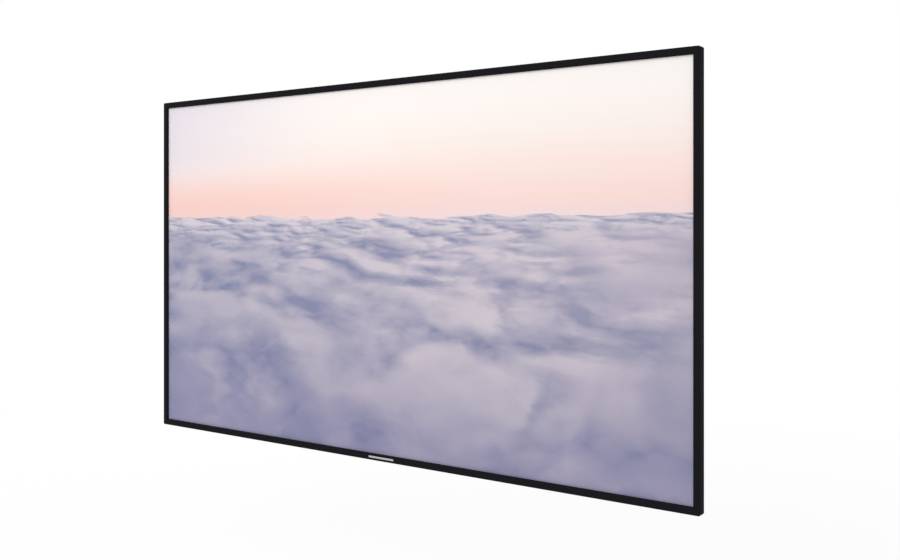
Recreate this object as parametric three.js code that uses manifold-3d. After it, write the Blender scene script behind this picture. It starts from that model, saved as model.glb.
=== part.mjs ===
// A fixed frame projector screen, 100 inches across its 16:9 picture, with the brackets it hangs on.
// Millimetres. +X is the viewer's right, -Y is the front and +Z is up.
// The origin is the middle of the whole object. The wall is the plane at its back.
import * as THREE from "three";
import { mergeVertices } from "three/addons/utils/BufferGeometryUtils.js";
import Module from "manifold-3d";

const wasm = await Module();
wasm.setup();

// Picture area, between the inner edges of the rails.
const VIEW_WIDTH = 2214;
const VIEW_HEIGHT = 1245;

// Extruded rails. All six share one section.
const FACE_WIDTH = 22;
const RAIL_DEPTH = 25;
const FACE_WALL = 2;
const OUTER_WALL = 2.5;
const REAR_WALL = 2;
const FLANGE_BITE = 2.3;
const LIP_WALL = 2;
const LIP_RISE = 0.9;
const LIP_ROOM = 4;
const CHANNEL_WALL = 1.5;
const CHANNEL_OVERHANG = 2.5;
const HOOK_WALL = 1.2;
const HOOK_SLOT = 2;
const HOOK_LENGTH = 2.5;
const EDGE_RADIUS = 1;
const CORNER_RADIUS = 8;

// Room that separate pieces leave each other: in a slide or seat, at a rail joint, in a thread.
const FIT = 0.3;
const JOINT_GAP = 0.3;
const THREAD_FIT = 0.15;

// Joining plates in the rails' channels, and their grub screws.
const PLATE_THICKNESS = 3;
const CORNER_LEG = 64;
const CORNER_SCREW_PLACES = [28, 52];
const STRAIGHT_HALF_LENGTH = 60;
const STRAIGHT_SCREW_PLACES = [18, 44];
const GRUB_DIAMETER = 5;
const GRUB_LENGTH = 4.6;
const GRUB_SOCKET = 2.5;
const GRUB_SOCKET_DEPTH = 2.2;

// Screen film, the rods in its hems, and the springs that stretch it.
const FILM_THICKNESS = 0.6;
const ROD_DIAMETER = 3;
const HEM_FIT = 0.3;
const HEM_LIP_GAP = 0.6;
const HEM_END = 30;
const FILM_CORNER_CUT = 8;
const SPRING_PITCH = 108;
const SPRING_END = 36;
const SPRING_DIAMETER = 4.4;
const SPRING_WIRE = 0.9;
const SPRING_EYE = 1.8;
const SPRING_NOTCH = 12;

// Upright bar behind the middle of the film, and the clips that hold its ends.
const BAR_WIDTH = 30;
const BAR_WALL = 1.2;
const BAR_FILM_ROOM = 0.5;
const CLIP_WEB = 2;
const CLIP_TONGUE = 1.7;
const CLIP_TONGUE_REACH = 5;
const CLIP_SPIGOT = 20;

// Wall brackets: folded plates whose lips hold the rear flanges of the top and bottom rails.
const BRACKET_THICKNESS = 2;
const BRACKET_STAND_OFF = 1;
const BRACKET_WIDTH = 60;
const BRACKET_HEIGHT = 42;
const BRACKET_INSET = 470;
const UPPER_LIP_REACH = 4.5;
const LOWER_LIP_REACH = 2.5;
const BRACKET_HOLE = 5.5;
const BRACKET_HOLE_SPREAD = 36;
const BRACKET_HOLE_DROP = 24;

// Blank badge at the middle of the bottom rail.
const BADGE_WIDTH = 108;
const BADGE_HEIGHT = 6;
const BADGE_THICKNESS = 0.6;

// How round forms are faceted.
const EDGE_STEPS = 3;
const CORNER_STEPS = 8;
const HOLE_SIDES = 10;
const HEM_SIDES = 6;
const SPRING_SIDES = 6;

// Places that follow from the sizes. Widths run in from a rail's outer side, depths back from its face.
const halfWidth = VIEW_WIDTH / 2 + FACE_WIDTH;
const halfHeight = VIEW_HEIGHT / 2 + FACE_WIDTH;
const wallPlane = RAIL_DEPTH + BRACKET_STAND_OFF + BRACKET_THICKNESS;
const totalDepth = BADGE_THICKNESS + wallPlane;
const facePlane = BADGE_THICKNESS - totalDepth / 2;

const lipOuter = FACE_WIDTH - LIP_WALL;
const channelInner = lipOuter - LIP_ROOM - CHANNEL_WALL;
const channelMiddle = (OUTER_WALL + channelInner) / 2;
const channelLedge = FACE_WALL + PLATE_THICKNESS + 2 * FIT;
const channelEnd = channelLedge + CHANNEL_WALL;
const lipEnd = channelEnd + LIP_RISE;
const flangeFront = RAIL_DEPTH - REAR_WALL;
const bracketLipFront = flangeFront - FIT - BRACKET_THICKNESS;
const hookEnd = bracketLipFront - SPRING_WIRE;
const hookStart = hookEnd - HOOK_LENGTH - HOOK_WALL;
const hookOuter = OUTER_WALL + HOOK_SLOT;
const hookInner = hookOuter + HOOK_WALL;
const flangeEnd = hookInner + FLANGE_BITE;

const plateFrom = OUTER_WALL + FIT;
const plateTo = channelInner - FIT;
const plateBack = channelLedge - FIT;
const plateFront = plateBack - PLATE_THICKNESS;

const filmFront = lipEnd + FIT;
const hemInside = ROD_DIAMETER / 2 + HEM_FIT;
const hemOutside = hemInside + FILM_THICKNESS;
const rodPlace = lipOuter - HEM_LIP_GAP - hemOutside;
const rodDepth = filmFront + FILM_THICKNESS / 2 + hemOutside;
const hemBack = rodDepth + hemOutside;

const barFront = hemBack + BAR_FILM_ROOM;
const barBack = flangeFront - FIT;
const clipWebEnd = flangeEnd + FIT + CLIP_WEB;
const barEnd = clipWebEnd + FIT;

const UP = new THREE.Vector3(0, 1, 0);

function finish(color, roughness, metalness) {
  return new THREE.MeshStandardMaterial({ color, roughness, metalness });
}

const blackAnodised = finish(0x1b1b1d, 0.42, 0.35);
const blackEnamel = finish(0x202022, 0.5, 0.3);
const zincPlate = finish(0xb4b7ba, 0.38, 0.9);
const springSteel = finish(0xa9acb0, 0.3, 0.95);
const darkSteel = finish(0x35353a, 0.4, 0.8);
const millAluminium = finish(0xa6a8aa, 0.4, 0.9);
const blackNylon = finish(0x17171a, 0.6, 0);
const paleFilm = finish(0xc9c3d0, 0.85, 0);
const satinBadge = finish(0x8f9194, 0.4, 0.8);

// A closed three.js geometry as a solid that can be joined and cut.
function solid(geometry) {
  const bare = geometry.clone();
  bare.deleteAttribute("normal");
  bare.deleteAttribute("uv");
  const merged = mergeVertices(bare, 1e-4);
  const vertProperties = new Float32Array(merged.attributes.position.array);
  const triVerts = new Uint32Array(merged.index.array);
  return new wasm.Manifold(new wasm.Mesh({ numProp: 3, vertProperties, triVerts }));
}

// A solid as a flat-shaded geometry.
function geometryOf(body) {
  const { vertProperties, triVerts } = body.getMesh();
  const shared = new THREE.BufferGeometry();
  shared.setAttribute("position", new THREE.BufferAttribute(vertProperties, 3));
  shared.setIndex(new THREE.BufferAttribute(triVerts, 1));
  const flat = shared.toNonIndexed();
  flat.computeVertexNormals();
  return flat;
}

const joined = (bodies) => bodies.reduce((whole, body) => whole.add(body));
const withCuts = (body, cuts) => cuts.reduce((rest, cut) => rest.subtract(cut), body);

function mesh(name, geometry, material) {
  const made = new THREE.Mesh(geometry, material);
  made.name = name;
  return made;
}

// In a side's own frame X runs in from the outer edge, Y back from the face and Z along the rail.
function block(inFrom, inTo, backFrom, backTo, alongFrom, alongTo) {
  const box = new THREE.BoxGeometry(inTo - inFrom, backTo - backFrom, alongTo - alongFrom);
  return box.translate((inFrom + inTo) / 2, (backFrom + backTo) / 2, (alongFrom + alongTo) / 2);
}

// An outline drawn as width in and length along, made a plate between two depths.
function plate(outline, backFrom, backTo, curveSegments = EDGE_STEPS) {
  const depth = backTo - backFrom;
  const made = new THREE.ExtrudeGeometry(outline, { depth, bevelEnabled: false, curveSegments });
  return made.rotateX(Math.PI / 2).translate(0, backTo, 0);
}

// An outline drawn as width in and depth back, run along the rail.
function run(outline, alongFrom, alongTo) {
  const depth = alongTo - alongFrom;
  const made = new THREE.ExtrudeGeometry(outline, { depth, bevelEnabled: false, curveSegments: EDGE_STEPS });
  return made.translate(0, 0, alongFrom);
}

// A round bar from depth to depth, standing at a width in and a length along.
function roundBar(inAt, alongAt, backFrom, backTo, diameter, sides = HOLE_SIDES) {
  const made = new THREE.CylinderGeometry(diameter / 2, diameter / 2, backTo - backFrom, sides);
  return made.translate(inAt, (backFrom + backTo) / 2, alongAt);
}

function outlineOf(points) {
  return new THREE.Shape(points.map(([x, y]) => new THREE.Vector2(x, y)));
}

// Rail section: face, inner lip, channel for the joining plates, hook rib for the springs, rear flange.
function railSection() {
  const section = new THREE.Shape();
  section.moveTo(EDGE_RADIUS, 0);
  section.lineTo(FACE_WIDTH - EDGE_RADIUS, 0);
  section.absarc(FACE_WIDTH - EDGE_RADIUS, EDGE_RADIUS, EDGE_RADIUS, -Math.PI / 2, 0, false);
  const inside = [
    [FACE_WIDTH, lipEnd],
    [lipOuter, lipEnd],
    [lipOuter, FACE_WALL],
    [channelInner + CHANNEL_WALL, FACE_WALL],
    [channelInner + CHANNEL_WALL, channelEnd],
    [channelInner - CHANNEL_OVERHANG, channelEnd],
    [channelInner - CHANNEL_OVERHANG, channelLedge],
    [channelInner, channelLedge],
    [channelInner, FACE_WALL],
    [OUTER_WALL, FACE_WALL],
    [OUTER_WALL, channelLedge],
    [OUTER_WALL + CHANNEL_OVERHANG, channelLedge],
    [OUTER_WALL + CHANNEL_OVERHANG, channelEnd],
    [OUTER_WALL, channelEnd],
    [OUTER_WALL, hookStart],
    [hookInner, hookStart],
    [hookInner, hookEnd],
    [hookOuter, hookEnd],
    [hookOuter, hookStart + HOOK_WALL],
    [OUTER_WALL, hookStart + HOOK_WALL],
    [OUTER_WALL, flangeFront],
    [flangeEnd, flangeFront],
    [flangeEnd, RAIL_DEPTH],
  ];
  inside.forEach(([x, y]) => section.lineTo(x, y));
  section.absarc(EDGE_RADIUS, RAIL_DEPTH - EDGE_RADIUS, EDGE_RADIUS, Math.PI / 2, Math.PI, false);
  section.absarc(EDGE_RADIUS, EDGE_RADIUS, EDGE_RADIUS, Math.PI, 1.5 * Math.PI, false);
  return section;
}

// What the rounded corner takes off a mitred end. end is 1 or -1.
function cornerShaving(half, end) {
  const outside = new THREE.Shape();
  outside.moveTo(-1, half + 1);
  outside.lineTo(-1, half - CORNER_RADIUS);
  outside.lineTo(0, half - CORNER_RADIUS);
  outside.absarc(CORNER_RADIUS, half - CORNER_RADIUS, CORNER_RADIUS, Math.PI, Math.PI / 2, true);
  outside.lineTo(CORNER_RADIUS, half + 1);
  const made = plate(outside, -1, RAIL_DEPTH + 1, CORNER_STEPS);
  return solid(end > 0 ? made : made.rotateX(Math.PI).translate(0, RAIL_DEPTH, 0));
}

// A rail between two lengths along. An end at the frame's corner is mitred and rounded.
function rail(half, alongFrom, alongTo) {
  const made = run(railSection(), 0, 1);
  const place = made.attributes.position;
  const mitreGap = JOINT_GAP * Math.SQRT1_2;
  for (let i = 0; i < place.count; i++) {
    const inset = place.getX(i) + mitreGap;
    const from = alongFrom === -half ? -half + inset : alongFrom;
    const to = alongTo === half ? half - inset : alongTo;
    place.setZ(i, place.getZ(i) < 0.5 ? from : to);
  }
  const shavings = [];
  if (alongFrom === -half) shavings.push(cornerShaving(half, -1));
  if (alongTo === half) shavings.push(cornerShaving(half, 1));
  return geometryOf(withCuts(solid(made), shavings));
}

const threadHole = (inAt, alongAt) =>
  solid(roundBar(inAt, alongAt, plateFront - 1, plateBack + 1, GRUB_DIAMETER + 2 * THREAD_FIT));

// L-shaped plate that joins two rails at a corner. Its legs lie in both channels.
function cornerPlate(half) {
  const outline = outlineOf([
    [plateFrom, half - CORNER_LEG],
    [plateTo, half - CORNER_LEG],
    [plateTo, half - plateTo],
    [CORNER_LEG, half - plateTo],
    [CORNER_LEG, half - plateFrom],
    [plateFrom, half - plateFrom],
  ]);
  const holes = cornerScrewPlaces(half).map(([inAt, alongAt]) => threadHole(inAt, alongAt));
  return geometryOf(withCuts(solid(plate(outline, plateFront, plateBack)), holes));
}

function cornerScrewPlaces(half) {
  const alongSide = CORNER_SCREW_PLACES.map((place) => [channelMiddle, half - place]);
  const alongEnd = CORNER_SCREW_PLACES.map((place) => [place, half - channelMiddle]);
  return [...alongSide, ...alongEnd];
}

// Straight plate that joins the two halves of a long rail.
function straightPlate() {
  const bar = block(plateFrom, plateTo, plateFront, plateBack, -STRAIGHT_HALF_LENGTH, STRAIGHT_HALF_LENGTH);
  const holes = straightScrewPlaces().map(([inAt, alongAt]) => threadHole(inAt, alongAt));
  return geometryOf(withCuts(solid(bar), holes));
}

function straightScrewPlaces() {
  return [-1, 1].flatMap((end) => STRAIGHT_SCREW_PLACES.map((place) => [channelMiddle, end * place]));
}

// Grub screw: threaded through a plate, its tip against the back of the rail's face.
function grubScrew([inAt, alongAt]) {
  const tip = FACE_WALL + FIT;
  const back = tip + GRUB_LENGTH;
  const socketDiameter = GRUB_SOCKET / Math.cos(Math.PI / 6);
  const shank = roundBar(inAt, alongAt, tip, back, GRUB_DIAMETER);
  const socket = roundBar(inAt, alongAt, back - GRUB_SOCKET_DEPTH, back + 1, socketDiameter, 6);
  return geometryOf(solid(shank).subtract(solid(socket)));
}

// Springs stand in pairs about the middle of a side, so the middle is free for the upright bar.
function springPlaces(half) {
  const perHalf = Math.floor((half - SPRING_END) / SPRING_PITCH + 0.5);
  const oneHalf = Array.from({ length: perHalf }, (_, i) => (i + 0.5) * SPRING_PITCH);
  return oneHalf.flatMap((place) => [-place, place]);
}

// A bent piece of spring wire through points given as width in and depth back, square in section.
function wire(points) {
  const reach = SPRING_WIRE / 2;
  const edge = (side) =>
    points.map(([x, y], i) => {
      const [fromX, fromY] = points[Math.max(i - 1, 0)];
      const [toX, toY] = points[Math.min(i + 1, points.length - 1)];
      const scale = (side * reach) / Math.hypot(toX - fromX, toY - fromY);
      return [x - (toY - fromY) * scale, y + (toX - fromX) * scale];
    });
  return solid(run(outlineOf([...edge(1), ...edge(-1).reverse()]), -reach, reach));
}

// One spring at the middle of its side: an eye round the rod, a coil, and a hook over the rail's rib.
function springSolid() {
  const rodAt = new THREE.Vector2(rodPlace, rodDepth);
  const slotMiddle = OUTER_WALL + HOOK_SLOT / 2;
  const hookBack = hookEnd + FIT + SPRING_WIRE / 2;
  const hookTop = new THREE.Vector2(hookInner + SPRING_WIRE, hookBack - SPRING_WIRE / 2);
  const pull = hookTop.clone().sub(rodAt);
  const length = pull.length();
  pull.normalize();
  const at = (along, aside) => [
    rodAt.x + pull.x * along - pull.y * aside,
    rodAt.y + pull.y * along + pull.x * aside,
  ];
  const coilFrom = ROD_DIAMETER / 2 + SPRING_EYE;
  const coilTo = length - SPRING_EYE;
  const [coilX, coilY] = at((coilFrom + coilTo) / 2, 0);
  const coilRadius = SPRING_DIAMETER / 2;
  const coil = new THREE.CylinderGeometry(coilRadius, coilRadius, coilTo - coilFrom, SPRING_SIDES);
  coil.applyQuaternion(new THREE.Quaternion().setFromUnitVectors(UP, new THREE.Vector3(pull.x, pull.y, 0)));
  coil.translate(coilX, coilY, 0);
  const eyeRadius = ROD_DIAMETER / 2 + SPRING_WIRE / 4;
  const round = (degrees) => {
    const turn = THREE.MathUtils.degToRad(degrees);
    return at(eyeRadius * Math.cos(turn), eyeRadius * Math.sin(turn));
  };
  const eye = wire([at(coilFrom + SPRING_WIRE, 0), ...[55, 115, 175, 235, 295].map(round)]);
  const hook = wire([
    at(coilTo - SPRING_WIRE, 0),
    [hookTop.x, hookTop.y],
    [hookInner, hookBack],
    [hookOuter, hookBack],
    [slotMiddle, hookBack - SPRING_WIRE / 2],
    [slotMiddle, hookBack - HOOK_LENGTH],
  ]);
  return joined([solid(coil), eye, hook]);
}

// The rod of one hem, with its springs hooked on.
function rodWithSprings(half) {
  const length = 2 * (half - HEM_END);
  const rod = new THREE.CylinderGeometry(ROD_DIAMETER / 2, ROD_DIAMETER / 2, length, HEM_SIDES);
  rod.rotateX(Math.PI / 2).translate(rodPlace, rodDepth, 0);
  const spring = geometryOf(springSolid());
  const springs = springPlaces(half).map((place) => solid(spring.clone().translate(0, 0, place)));
  return geometryOf(joined([solid(rod), ...springs]));
}

// Tube of film that holds a rod, as a ring run along the side.
function hemTube(half) {
  const ring = new THREE.Shape();
  const hole = new THREE.Path();
  for (let i = 0; i < HEM_SIDES; i++) {
    const turn = ((i + 0.5) * 2 * Math.PI) / HEM_SIDES;
    const [x, y] = [Math.cos(turn), Math.sin(turn)];
    const rim = hemOutside / Math.cos(Math.PI / HEM_SIDES);
    const bore = hemInside / Math.cos(Math.PI / HEM_SIDES);
    if (i === 0) {
      ring.moveTo(rodPlace + rim * x, rodDepth + rim * y);
      hole.moveTo(rodPlace + bore * x, rodDepth + bore * y);
    } else {
      ring.lineTo(rodPlace + rim * x, rodDepth + rim * y);
      hole.lineTo(rodPlace + bore * x, rodDepth + bore * y);
    }
  }
  ring.holes.push(hole);
  return run(ring, HEM_END - half, half - HEM_END);
}

// Windows in the hem, one for the eye of each spring.
function hemWindows(half) {
  const inTo = rodPlace + ROD_DIAMETER / 2 + SPRING_WIRE + FIT;
  return springPlaces(half).map((place) =>
    block(
      rodPlace - hemOutside - 1,
      inTo,
      filmFront - 1,
      hemBack + 1,
      place - SPRING_NOTCH / 2,
      place + SPRING_NOTCH / 2,
    ),
  );
}

// The film: one flat sheet with clipped corners and a hem along each edge.
function film() {
  const x = halfWidth - rodPlace;
  const z = halfHeight - rodPlace;
  const cut = FILM_CORNER_CUT;
  const outline = outlineOf([
    [x - cut, z],
    [cut - x, z],
    [-x, z - cut],
    [-x, cut - z],
    [cut - x, -z],
    [x - cut, -z],
    [x, cut - z],
    [x, z - cut],
  ]);
  const sheet = plate(outline, filmFront, filmFront + FILM_THICKNESS).translate(0, facePlane, 0);
  const inPlace = (side, geometry) => solid(geometry.applyMatrix4(side.group.matrix));
  const hems = sides.map((side) => inPlace(side, hemTube(side.half)));
  const windows = sides.flatMap((side) => hemWindows(side.half).map((box) => inPlace(side, box)));
  return geometryOf(withCuts(joined([solid(sheet), ...hems]), windows));
}

// Clip at an end of the upright bar. It grips the rear flange and plugs into the bar.
function barClip() {
  const grip = outlineOf([
    [hookInner + FIT, barFront],
    [clipWebEnd, barFront],
    [clipWebEnd, RAIL_DEPTH + FIT + CLIP_TONGUE],
    [flangeEnd - CLIP_TONGUE_REACH, RAIL_DEPTH + FIT + CLIP_TONGUE],
    [flangeEnd - CLIP_TONGUE_REACH, RAIL_DEPTH + FIT],
    [flangeEnd + FIT, RAIL_DEPTH + FIT],
    [flangeEnd + FIT, barBack],
    [hookInner + FIT, barBack],
  ]);
  const inset = BAR_WALL + FIT;
  const half = BAR_WIDTH / 2;
  const reach = half - inset;
  const spigot = block(clipWebEnd - 1, barEnd + CLIP_SPIGOT, barFront + inset, barBack - inset, -reach, reach);
  return geometryOf(solid(run(grip, -half, half)).add(solid(spigot)));
}

// The upright bar, a flat tube from rail to rail behind the film.
function supportBar() {
  const half = halfHeight - barEnd;
  const middle = facePlane + (barFront + barBack) / 2;
  const depth = barBack - barFront;
  const tube = new THREE.BoxGeometry(BAR_WIDTH, depth, 2 * half);
  const bore = new THREE.BoxGeometry(BAR_WIDTH - 2 * BAR_WALL, depth - 2 * BAR_WALL, 2 * half + 2);
  return geometryOf(solid(tube).subtract(solid(bore))).translate(0, middle, 0);
}

// Wall bracket: a lip in front of the rear flange, a web under its edge, and a plate on the wall.
function wallBracket(lipReach) {
  const webFrom = flangeEnd + FIT;
  const webTo = webFrom + BRACKET_THICKNESS;
  const plateEnd = webFrom + BRACKET_HEIGHT;
  const section = outlineOf([
    [flangeEnd - lipReach, bracketLipFront],
    [webTo, bracketLipFront],
    [webTo, wallPlane - BRACKET_THICKNESS],
    [plateEnd, wallPlane - BRACKET_THICKNESS],
    [plateEnd, wallPlane],
    [webFrom, wallPlane],
    [webFrom, bracketLipFront + BRACKET_THICKNESS],
    [flangeEnd - lipReach, bracketLipFront + BRACKET_THICKNESS],
  ]);
  const holes = [-1, 1].map((end) => {
    const along = (end * BRACKET_HOLE_SPREAD) / 2;
    return solid(roundBar(webFrom + BRACKET_HOLE_DROP, along, RAIL_DEPTH, wallPlane + 1, BRACKET_HOLE));
  });
  const folded = run(section, -BRACKET_WIDTH / 2, BRACKET_WIDTH / 2);
  return geometryOf(withCuts(solid(folded), holes));
}

// Blank badge: a thin bar with round ends on the face of the bottom rail.
function badge() {
  const end = (BADGE_WIDTH - BADGE_HEIGHT) / 2;
  const middle = FACE_WIDTH / 2;
  const outline = new THREE.Shape();
  outline.absarc(middle, end, BADGE_HEIGHT / 2, 0, Math.PI, false);
  outline.absarc(middle, -end, BADGE_HEIGHT / 2, Math.PI, 2 * Math.PI, false);
  return geometryOf(solid(plate(outline, -BADGE_THICKNESS, 0, CORNER_STEPS)));
}

// The four sides. Each group turns its own frame, so that along runs clockwise for the viewer.
function sideGroup(x, z, turn) {
  const group = new THREE.Group();
  group.position.set(x, facePlane, z);
  group.rotation.y = turn;
  group.updateMatrix();
  return group;
}

const sides = [
  { name: "left", corner: "top_left", half: halfHeight, group: sideGroup(-halfWidth, 0, 0) },
  { name: "top", corner: "top_right", half: halfWidth, group: sideGroup(0, halfHeight, Math.PI / 2) },
  { name: "right", corner: "bottom_right", half: halfHeight, group: sideGroup(halfWidth, 0, Math.PI) },
  { name: "bottom", corner: "bottom_left", half: halfWidth, group: sideGroup(0, -halfHeight, -Math.PI / 2) },
];

// What all four sides have: a corner plate at the far end with its screws, and a rod with springs.
function dressSide({ name, corner, half, group }) {
  group.add(mesh(`${corner}_corner_plate`, cornerPlate(half), zincPlate));
  cornerScrewPlaces(half).forEach((place, i) => {
    group.add(mesh(`${corner}_grub_screw_${i + 1}`, grubScrew(place), darkSteel));
  });
  group.add(mesh(`${name}_hem_rod_with_springs`, rodWithSprings(half), springSteel));
}

// A short side has one rail.
function dressShortSide({ name, half, group }) {
  group.add(mesh(`${name}_rail`, rail(half, -half, half), blackAnodised));
}

// A long side has two rails joined at the middle, a clip for the bar, and two wall brackets.
function dressLongSide({ name, half, group }, firstEnd, secondEnd, lipReach) {
  const seam = JOINT_GAP / 2;
  group.add(mesh(`${name}_rail_${firstEnd}`, rail(half, -half, -seam), blackAnodised));
  group.add(mesh(`${name}_rail_${secondEnd}`, rail(half, seam, half), blackAnodised));
  group.add(mesh(`${name}_straight_plate`, straightPlate(), zincPlate));
  straightScrewPlaces().forEach((place, i) => {
    group.add(mesh(`${name}_middle_grub_screw_${i + 1}`, grubScrew(place), darkSteel));
  });
  group.add(mesh(`${name}_bar_clip`, barClip(), blackNylon));
  const bracketPlace = Math.round((half - BRACKET_INSET) / SPRING_PITCH) * SPRING_PITCH;
  [[-1, firstEnd], [1, secondEnd]].forEach(([end, endName]) => {
    const bracket = mesh(`${name}_wall_bracket_${endName}`, wallBracket(lipReach), blackEnamel);
    bracket.position.z = end * bracketPlace;
    group.add(bracket);
  });
}

const screen = new THREE.Group();
const [left, top, right, bottom] = sides;
sides.forEach(dressSide);
dressShortSide(left);
dressShortSide(right);
dressLongSide(top, "left", "right", UPPER_LIP_REACH);
dressLongSide(bottom, "right", "left", LOWER_LIP_REACH);
bottom.group.add(mesh("blank_badge", badge(), satinBadge));
sides.forEach((side) => screen.add(side.group));
screen.add(mesh("support_bar", supportBar(), millAluminium));
screen.add(mesh("screen_film", film(), paleFilm));

export default screen;
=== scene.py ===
# A fixed frame projector screen: black aluminium rails, a sprung film, and the brackets it hangs on.
# Metres. +X is the viewer's right, -Y is the front and +Z is up. The wall is the plane at the back.
import math

import bmesh
import bpy
from mathutils import Matrix, Vector


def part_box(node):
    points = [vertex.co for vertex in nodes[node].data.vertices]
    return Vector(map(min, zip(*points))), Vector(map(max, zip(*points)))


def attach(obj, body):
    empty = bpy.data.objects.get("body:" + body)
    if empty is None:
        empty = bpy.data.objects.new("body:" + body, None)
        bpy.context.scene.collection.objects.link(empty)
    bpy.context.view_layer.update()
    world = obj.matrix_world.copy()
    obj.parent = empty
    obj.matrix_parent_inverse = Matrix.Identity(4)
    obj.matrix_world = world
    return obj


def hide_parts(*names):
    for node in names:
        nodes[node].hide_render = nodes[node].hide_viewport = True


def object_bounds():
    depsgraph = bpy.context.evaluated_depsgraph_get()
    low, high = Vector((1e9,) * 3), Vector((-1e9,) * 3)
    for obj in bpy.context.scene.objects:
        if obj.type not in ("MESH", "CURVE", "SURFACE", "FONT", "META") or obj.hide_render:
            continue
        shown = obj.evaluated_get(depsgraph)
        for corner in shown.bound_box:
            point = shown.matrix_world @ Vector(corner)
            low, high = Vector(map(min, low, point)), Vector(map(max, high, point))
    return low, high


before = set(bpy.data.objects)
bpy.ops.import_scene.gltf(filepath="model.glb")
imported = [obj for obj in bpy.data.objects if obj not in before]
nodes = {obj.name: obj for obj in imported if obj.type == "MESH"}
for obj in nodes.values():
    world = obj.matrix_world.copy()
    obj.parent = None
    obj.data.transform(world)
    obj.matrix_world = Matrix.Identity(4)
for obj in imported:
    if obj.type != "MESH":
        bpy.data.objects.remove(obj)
cad_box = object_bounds()

# Rails: six lengths of one aluminium extrusion, mitred at the corners and butted at the middle of the
# long sides. They are satin black anodised, and the die leaves fine lines along each length.
ANODISED_BLACK = (0.0060, 0.0056, 0.0072, 1)
ANODISED_LIFT = (0.0160, 0.0152, 0.0184, 1)
ALONG_X = (3, 1400, 1400)
ALONG_Z = (1400, 1400, 3)
SPECKS_A_BLOTCH = 60.0
JOINT_GAP = 0.0003
JOINT_HAIRLINE = 0.00006
RAIL_EDGE = 0.00018
SHARP_ANGLE = math.radians(35)
FLAT_ANGLE = 1e-3
SAME_POINT = 1e-6
ON_PLANE = 1e-5
half_width = -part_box("left_rail")[0].x
half_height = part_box("top_rail_left")[1].z
face_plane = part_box("left_rail")[0].y


# A side's own frame: X runs in from the rails' outer edge, Y back from their face and Z along the side.
def side_frame(x, z, quarter_turns):
    turn = Matrix.Rotation(quarter_turns * math.pi / 2, 4, "Y")
    return Matrix.Translation((x, face_plane, z)) @ turn


SIDES = {
    "left": (side_frame(-half_width, 0, 0), half_height),
    "top": (side_frame(0, half_height, 1), half_width),
    "right": (side_frame(half_width, 0, 2), half_height),
    "bottom": (side_frame(0, -half_height, -1), half_width),
}


def feed(tree, socket, value):
    if isinstance(value, bpy.types.NodeSocket):
        tree.links.new(value, socket)
    else:
        socket.default_value = value


def calc(tree, operation, *values):
    made = tree.nodes.new("ShaderNodeMath")
    made.operation = operation
    for socket, value in zip(made.inputs, values):
        feed(tree, socket, value)
    return made.outputs["Value"]


# A base value that each mask raises by its share.
def summed(tree, base, *rises):
    value = base
    for mask, share in rises:
        value = calc(tree, "MULTIPLY_ADD", mask, share, value)
    return value


def product(tree, *masks):
    value = masks[0]
    for mask in masks[1:]:
        value = calc(tree, "MULTIPLY", value, mask)
    return value


def noise(tree, vector, scale, detail, roughness=0.5, distortion=0.0):
    made = tree.nodes.new("ShaderNodeTexNoise")
    given = {"Vector": vector, "Scale": scale, "Detail": detail, "Roughness": roughness}
    for label, value in given.items():
        feed(tree, made.inputs[label], value)
    made.inputs["Distortion"].default_value = distortion
    return made.outputs["Fac"]


def spread(tree, value, low, high, to_low=0.0, to_high=1.0):
    made = tree.nodes.new("ShaderNodeMapRange")
    made.interpolation_type = "SMOOTHSTEP"
    given = {"Value": value, "From Min": low, "From Max": high, "To Min": to_low, "To Max": to_high}
    for label, amount in given.items():
        feed(tree, made.inputs[label], amount)
    return made.outputs["Result"]


def tint(tree, share, first, second):
    made = tree.nodes.new("ShaderNodeMix")
    made.data_type = "RGBA"
    sockets = {socket.identifier: socket for socket in made.inputs}
    feed(tree, sockets["Factor_Float"], share)
    feed(tree, sockets["A_Color"], first)
    feed(tree, sockets["B_Color"], second)
    return next(socket for socket in made.outputs if socket.identifier == "Result_Color")


def new_group(name, inputs, outputs):
    tree = bpy.data.node_groups.new(name, "ShaderNodeTree")
    for label, kind in inputs.items():
        tree.interface.new_socket(label, in_out="INPUT", socket_type="NodeSocket" + kind)
    for label, kind in outputs.items():
        tree.interface.new_socket(label, in_out="OUTPUT", socket_type="NodeSocket" + kind)
    return tree, tree.nodes.new("NodeGroupInput").outputs, tree.nodes.new("NodeGroupOutput").inputs


def use_group(tree, group, **values):
    made = tree.nodes.new("ShaderNodeGroup")
    made.node_tree = group
    for label, value in values.items():
        feed(tree, made.inputs[label], value)
    return made.outputs


def stretched(tree, place, scale):
    made = tree.nodes.new("ShaderNodeVectorMath")
    made.operation = "MULTIPLY"
    feed(tree, made.inputs[0], place)
    feed(tree, made.inputs[1], scale)
    return made.outputs["Vector"]


# Fine lines that a die, a brush or a drawing plate leaves along one direction.
def drawn_lines_group():
    tree, given, made = new_group(
        "drawn_lines",
        {"Place": "Vector", "Stretch": "Vector"},
        {"Lines": "Float", "Broad": "Float"},
    )
    drawn = stretched(tree, given["Place"], given["Stretch"])
    feed(tree, made["Lines"], noise(tree, drawn, scale=1.0, detail=3, roughness=0.6))
    feed(tree, made["Broad"], noise(tree, drawn, scale=0.18, detail=2))
    return tree


# Soft blotches of handling and dust that change a surface's gloss.
def handling_group():
    tree, given, made = new_group(
        "handling",
        {"Place": "Vector", "Size": "Float"},
        {"Blotch": "Float", "Dust": "Float"},
    )
    scale = calc(tree, "DIVIDE", 1.0, given["Size"])
    blotch = noise(tree, given["Place"], scale, detail=5, roughness=0.55, distortion=0.4)
    feed(tree, made["Blotch"], spread(tree, blotch, low=0.3, high=0.7))
    specks = noise(tree, given["Place"], product(tree, scale, SPECKS_A_BLOTCH), detail=2)
    feed(tree, made["Dust"], spread(tree, specks, low=0.62, high=0.78))
    return tree


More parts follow.
